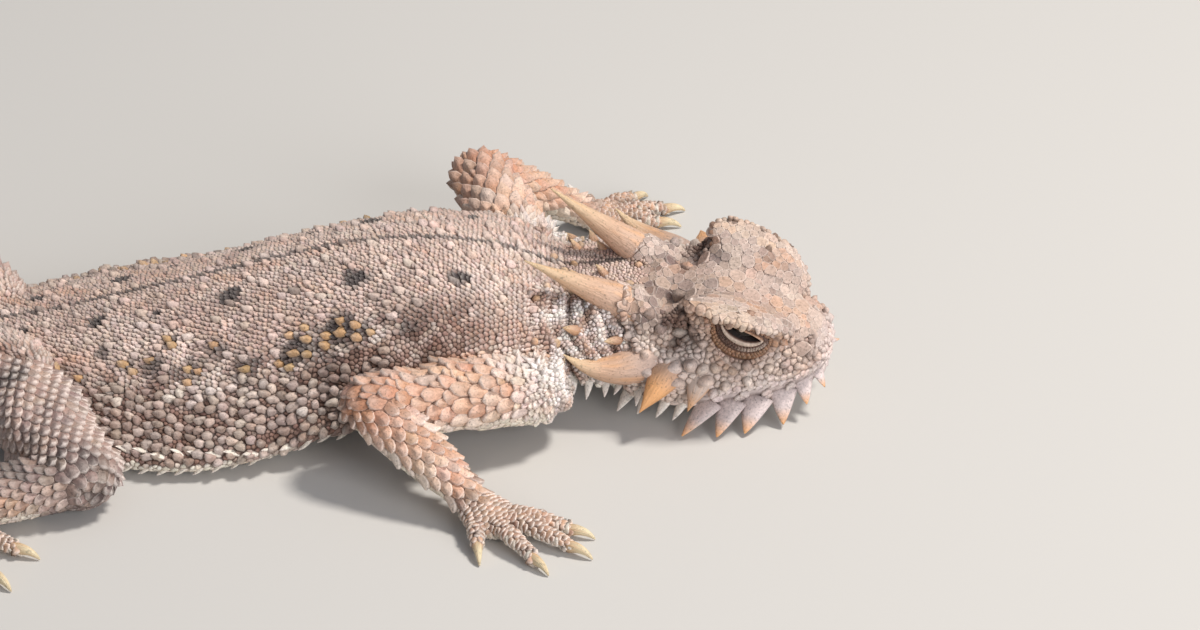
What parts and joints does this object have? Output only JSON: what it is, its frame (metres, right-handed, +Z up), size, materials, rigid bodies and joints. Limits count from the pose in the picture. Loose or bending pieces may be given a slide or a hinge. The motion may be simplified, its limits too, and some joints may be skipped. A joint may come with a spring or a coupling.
{
  "type": "horned lizard",
  "caption": "Life-size still model of a flat-tail horned lizard, lying flat on its belly and tail with its limbs spread, horned head a little raised.",
  "frame": {"origin": "centre of the bounding box's base, on the floor under the trunk", "axes": "+X is the way the trunk heads, +Y the animal's left, +Z up; the floor is at Z = 0"},
  "size_m": [0.1134, 0.067, 0.0161],
  "materials": {
    "trunk_skin": "matte scaly skin, sandy tan with dark blotches",
    "head_skin": "matte horny scales, orange tan",
    "neck_skin": "matte granular skin, tan and white",
    "limb_skin": "matte keeled scales, orange tan with pale edges",
    "horn": "satin keratin, orange tan",
    "eye_dark": "wet gloss, near black"
  },
  "bodies": {
    "root": {"eye_left": "eye_dark", "eye_right": "eye_dark", "foot_left": "limb_skin", "foot_right": "limb_skin", "forearm_left": "limb_skin", "forearm_right": "limb_skin", "hand_left": "limb_skin", "hand_right": "limb_skin", "head": "head_skin", "horn_occipital_left": "horn", "horn_occipital_right": "horn", "horn_temporal_front_left": "horn", "horn_temporal_front_right": "horn", "horn_temporal_middle_left": "horn", "horn_temporal_middle_right": "horn", "horn_temporal_rear_left": "horn", "horn_temporal_rear_right": "horn", "lower_jaw": "head_skin", "neck": "neck_skin", "shank_left": "limb_skin", "shank_right": "limb_skin", "tail": "trunk_skin", "thigh_left": "limb_skin", "thigh_right": "limb_skin", "torso": "trunk_skin", "upper_arm_left": "limb_skin", "upper_arm_right": "limb_skin"}
  },
  "joints": []
}
